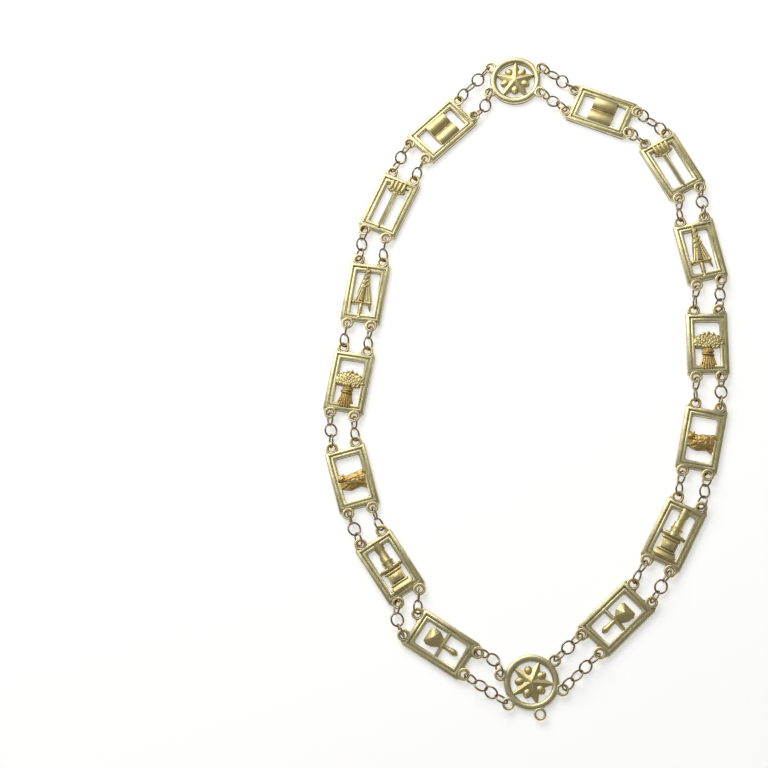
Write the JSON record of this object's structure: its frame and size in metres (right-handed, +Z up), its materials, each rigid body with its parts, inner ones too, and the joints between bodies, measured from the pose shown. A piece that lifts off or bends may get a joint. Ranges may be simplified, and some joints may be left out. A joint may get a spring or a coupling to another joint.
{
  "type": "chain of office",
  "caption": "Chain of office: an oval collar of pierced cast plaques and star medallions, joined by strands of small wire rings.",
  "frame": {"origin": "middle of the chain's box, on the surface that it lies on", "axes": "+Z up from the backs of the plaques to their faces, +Y along the oval towards the medallion worn at the nape, +X across the oval"},
  "size_m": [0.2358, 0.3992, 0.0081],
  "materials": {
    "gilt_casting": "polished gilt, dark in the recesses",
    "ring_wire": "drawn wire, gilt worn to brown"
  },
  "bodies": {
    "root": {"book_left": "gilt_casting", "book_right": "gilt_casting", "column_left": "gilt_casting", "column_right": "gilt_casting", "crown_left": "gilt_casting", "crown_right": "gilt_casting", "cup_left": "gilt_casting", "cup_right": "gilt_casting", "lamb_left": "gilt_casting", "lamb_right": "gilt_casting", "medallion_bottom": "gilt_casting", "medallion_top": "gilt_casting", "rings_left_1_inner": "ring_wire", "rings_left_1_outer": "ring_wire", "rings_left_2_inner": "ring_wire", "rings_left_2_outer": "ring_wire", "rings_left_3_inner": "ring_wire", "rings_left_3_outer": "ring_wire", "rings_left_4_inner": "ring_wire", "rings_left_4_outer": "ring_wire", "rings_left_5_inner": "ring_wire", "rings_left_5_outer": "ring_wire", "rings_left_6_inner": "ring_wire", "rings_left_6_outer": "ring_wire", "rings_left_7_inner": "ring_wire", "rings_left_7_outer": "ring_wire", "rings_left_8_inner": "ring_wire", "rings_left_8_outer": "ring_wire", "rings_right_1_inner": "ring_wire", "rings_right_1_outer": "ring_wire", "rings_right_2_inner": "ring_wire", "rings_right_2_outer": "ring_wire", "rings_right_3_inner": "ring_wire", "rings_right_3_outer": "ring_wire", "rings_right_4_inner": "ring_wire", "rings_right_4_outer": "ring_wire", "rings_right_5_inner": "ring_wire", "rings_right_5_outer": "ring_wire", "rings_right_6_inner": "ring_wire", "rings_right_6_outer": "ring_wire", "rings_right_7_inner": "ring_wire", "rings_right_7_outer": "ring_wire", "rings_right_8_inner": "ring_wire", "rings_right_8_outer": "ring_wire", "sheaf_left": "gilt_casting", "sheaf_right": "gilt_casting", "sword_left": "gilt_casting", "sword_right": "gilt_casting"}
  },
  "joints": []
}
